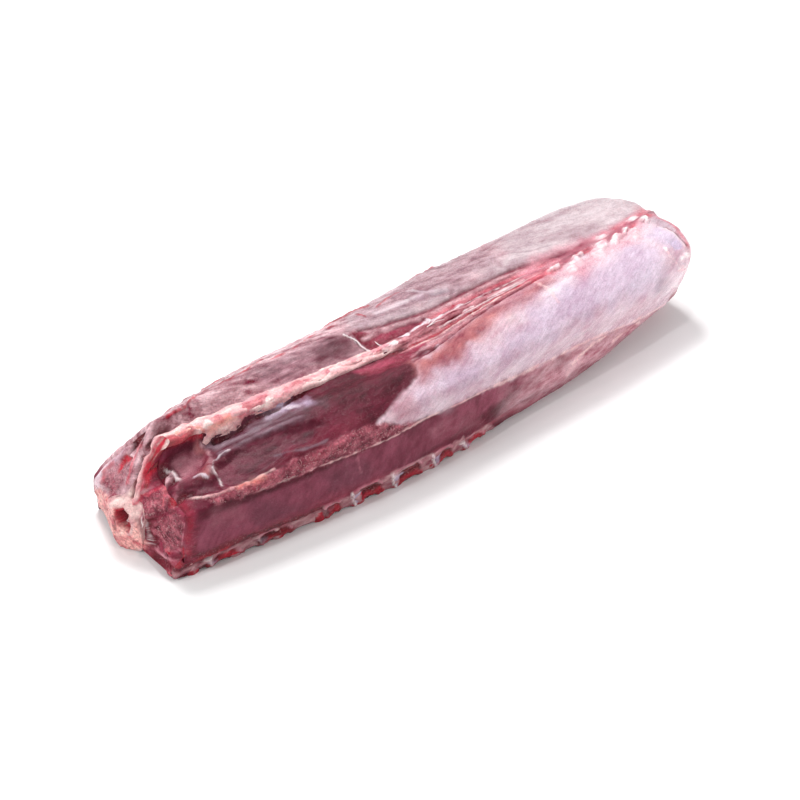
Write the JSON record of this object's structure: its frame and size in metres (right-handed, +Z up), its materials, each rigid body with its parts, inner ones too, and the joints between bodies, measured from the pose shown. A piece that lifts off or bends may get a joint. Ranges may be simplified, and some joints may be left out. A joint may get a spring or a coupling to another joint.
{
  "type": "roe deer saddle",
  "caption": "Raw roe deer saddle on the bone: both loins along the backbone, sawn rib stubs below, silverskin on the lumbar end.",
  "frame": {"origin": "under the middle of the saddle, on the surface that it lies on", "axes": "+X along the backbone from the sawn rib end to the rounded lumbar end, +Z up"},
  "size_m": [0.4339, 0.1149, 0.0692],
  "materials": {
    "meat": "wet raw muscle with silverskin",
    "bone": "fresh sawn bone and fat"
  },
  "bodies": {
    "root": {"saddle_meat": "meat", "backbone": "bone", "rib_near_1": "bone", "rib_near_2": "bone", "rib_near_3": "bone", "rib_near_4": "bone", "rib_near_5": "bone", "rib_near_6": "bone", "rib_near_7": "bone", "rib_near_8": "bone", "rib_far_1": "bone", "rib_far_2": "bone", "rib_far_3": "bone", "rib_far_4": "bone", "rib_far_5": "bone", "rib_far_6": "bone", "rib_far_7": "bone", "rib_far_8": "bone"}
  },
  "joints": []
}
